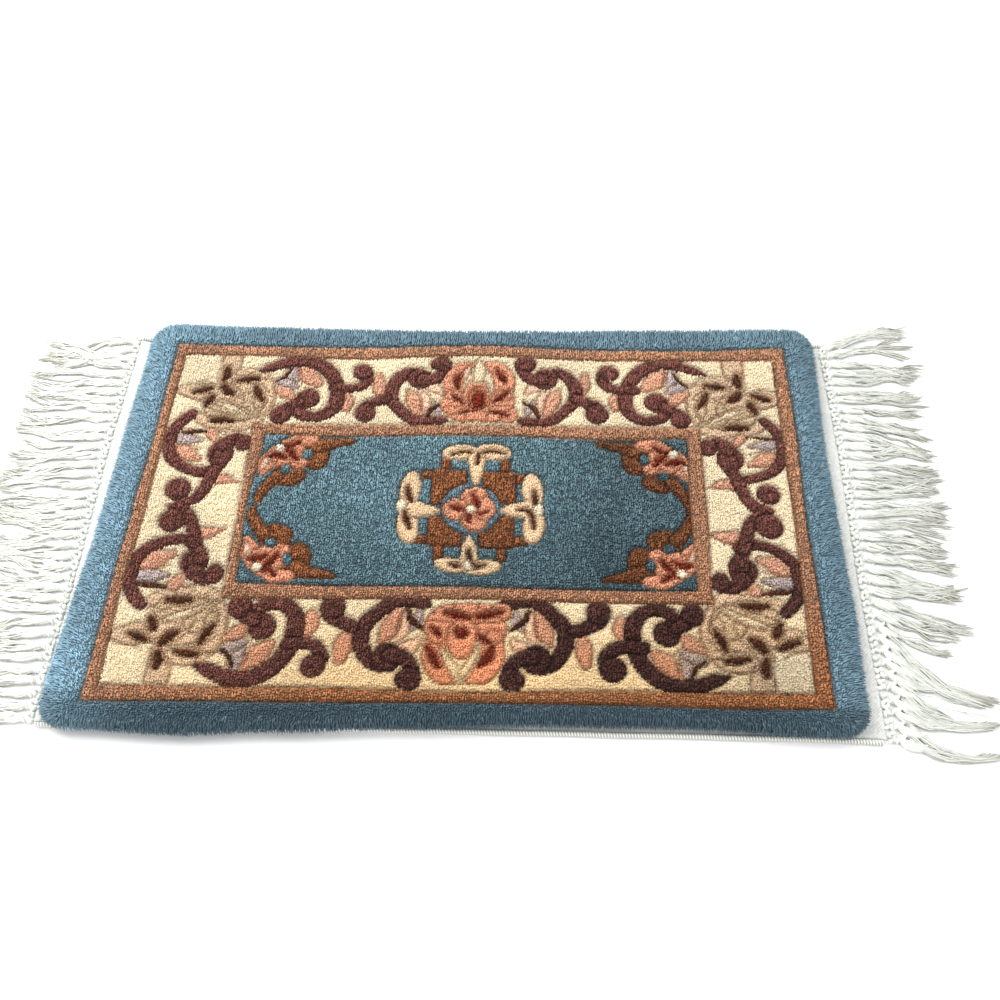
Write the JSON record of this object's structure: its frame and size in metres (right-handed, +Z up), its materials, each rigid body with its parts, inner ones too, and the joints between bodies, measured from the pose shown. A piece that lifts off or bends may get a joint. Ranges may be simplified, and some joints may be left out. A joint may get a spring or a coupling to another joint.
{
  "type": "rug",
  "caption": "Small rectangular carved Chinese wool rug with a flower border, a central medallion, flat woven cotton ends and a knotted cotton fringe at each end.",
  "frame": {"origin": "on the underside of the woven ground, below the middle of the knotted field", "axes": "+X along the length to the right-hand fringe, +Y from the front edge to the back edge, +Z up through the pile"},
  "size_m": [0.7682, 0.4125, 0.0145],
  "materials": {
    "wool_pile": "thick cut wool pile, carved along its motifs, in blue, cream, rust brown, plum and coral",
    "cotton_ground": "tightly woven undyed cotton",
    "selvedge": "overcast undyed cotton cord",
    "fringe": "off-white twisted cotton strands"
  },
  "bodies": {
    "root": {"wool_pile": "wool_pile", "cotton_ground": "cotton_ground", "selvedge_front": "selvedge", "selvedge_back": "selvedge", "fringe_left": "fringe", "fringe_right": "fringe"}
  },
  "joints": []
}
